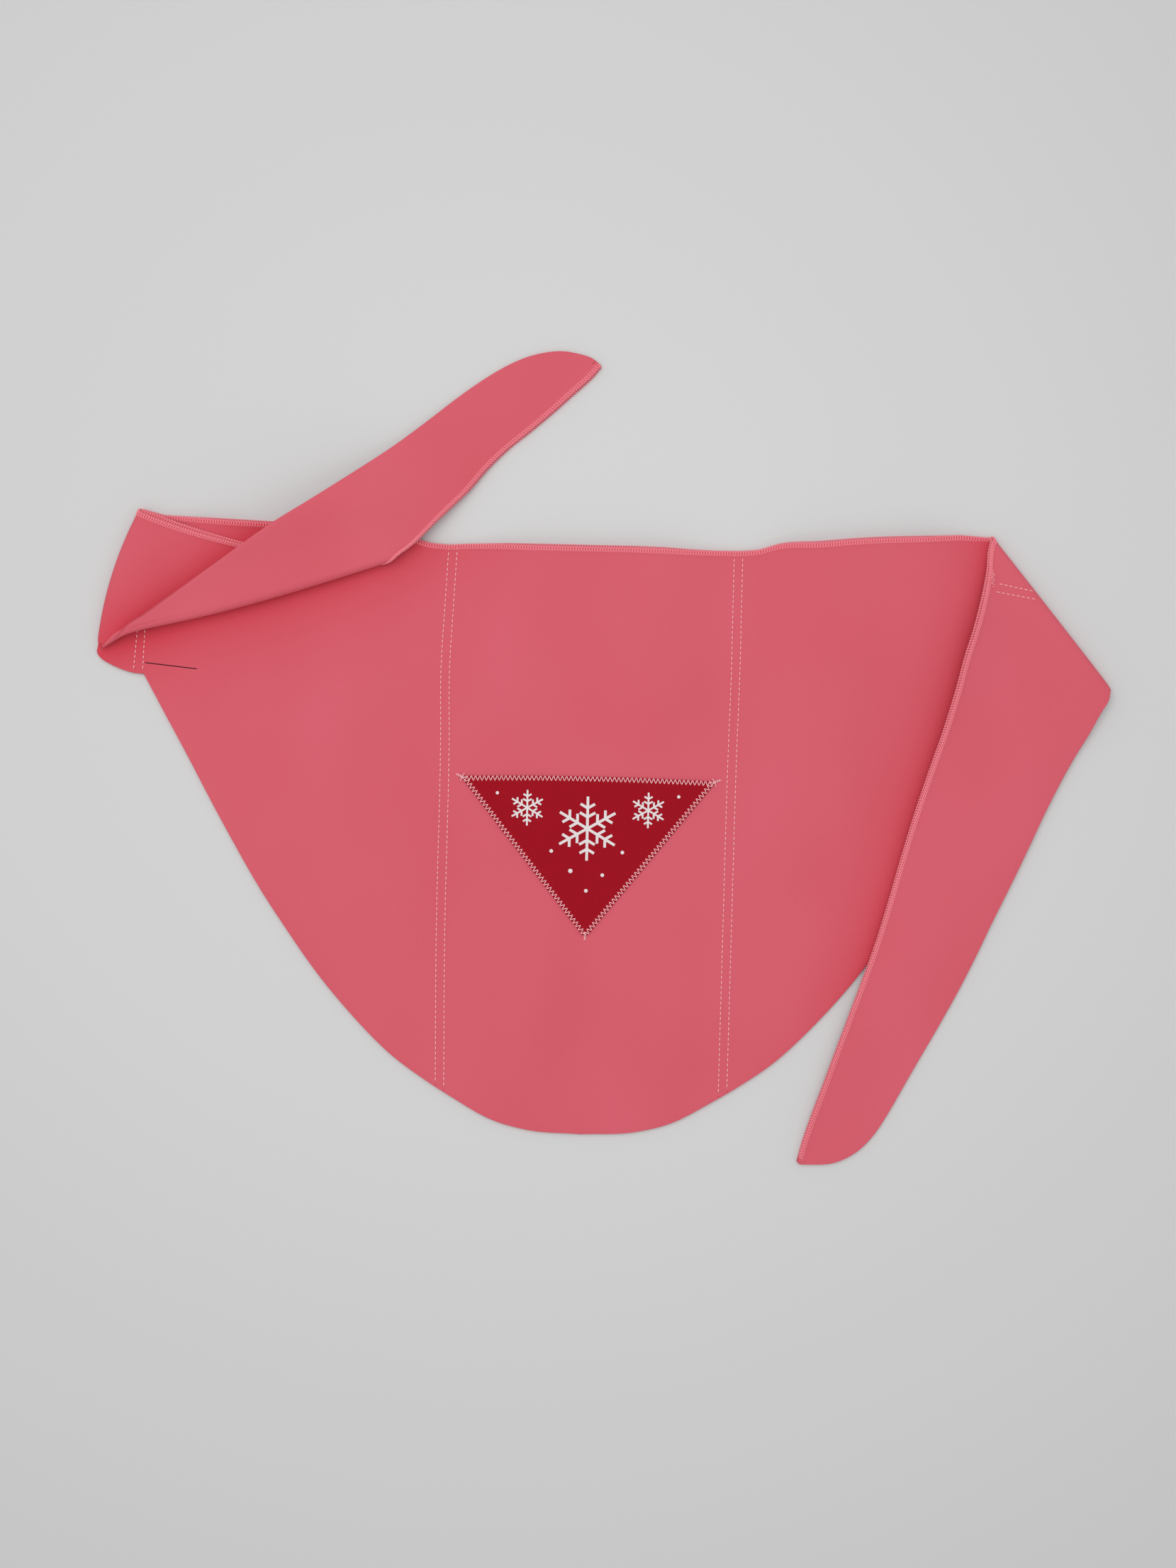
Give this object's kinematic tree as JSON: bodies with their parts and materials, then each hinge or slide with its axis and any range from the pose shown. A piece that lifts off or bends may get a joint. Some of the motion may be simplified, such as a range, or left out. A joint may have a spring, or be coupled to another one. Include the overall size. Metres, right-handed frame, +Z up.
{
  "type": "cooling neck wrap",
  "caption": "Soft cloth neck wrap with ice pockets side by side, open at the top, long ties folded over it and a triangular patch.",
  "frame": {"origin": "on the table under the middle of the wrap's box, seen from above", "axes": "+X to the right along the pockets' mouth, +Y from the lower edge towards the mouth, +Z up off the table"},
  "size_m": [0.5706, 0.4554, 0.0161],
  "materials": {
    "wrap_cloth": "smooth matt knit",
    "patch_cloth": "smooth matt weave"
  },
  "bodies": {
    "root": {"front_panel": "wrap_cloth", "back_panel": "wrap_cloth", "left_tie_front": "wrap_cloth", "left_tie_back": "wrap_cloth", "right_tie_front": "wrap_cloth", "right_tie_back": "wrap_cloth", "patch": "patch_cloth"}
  },
  "joints": []
}
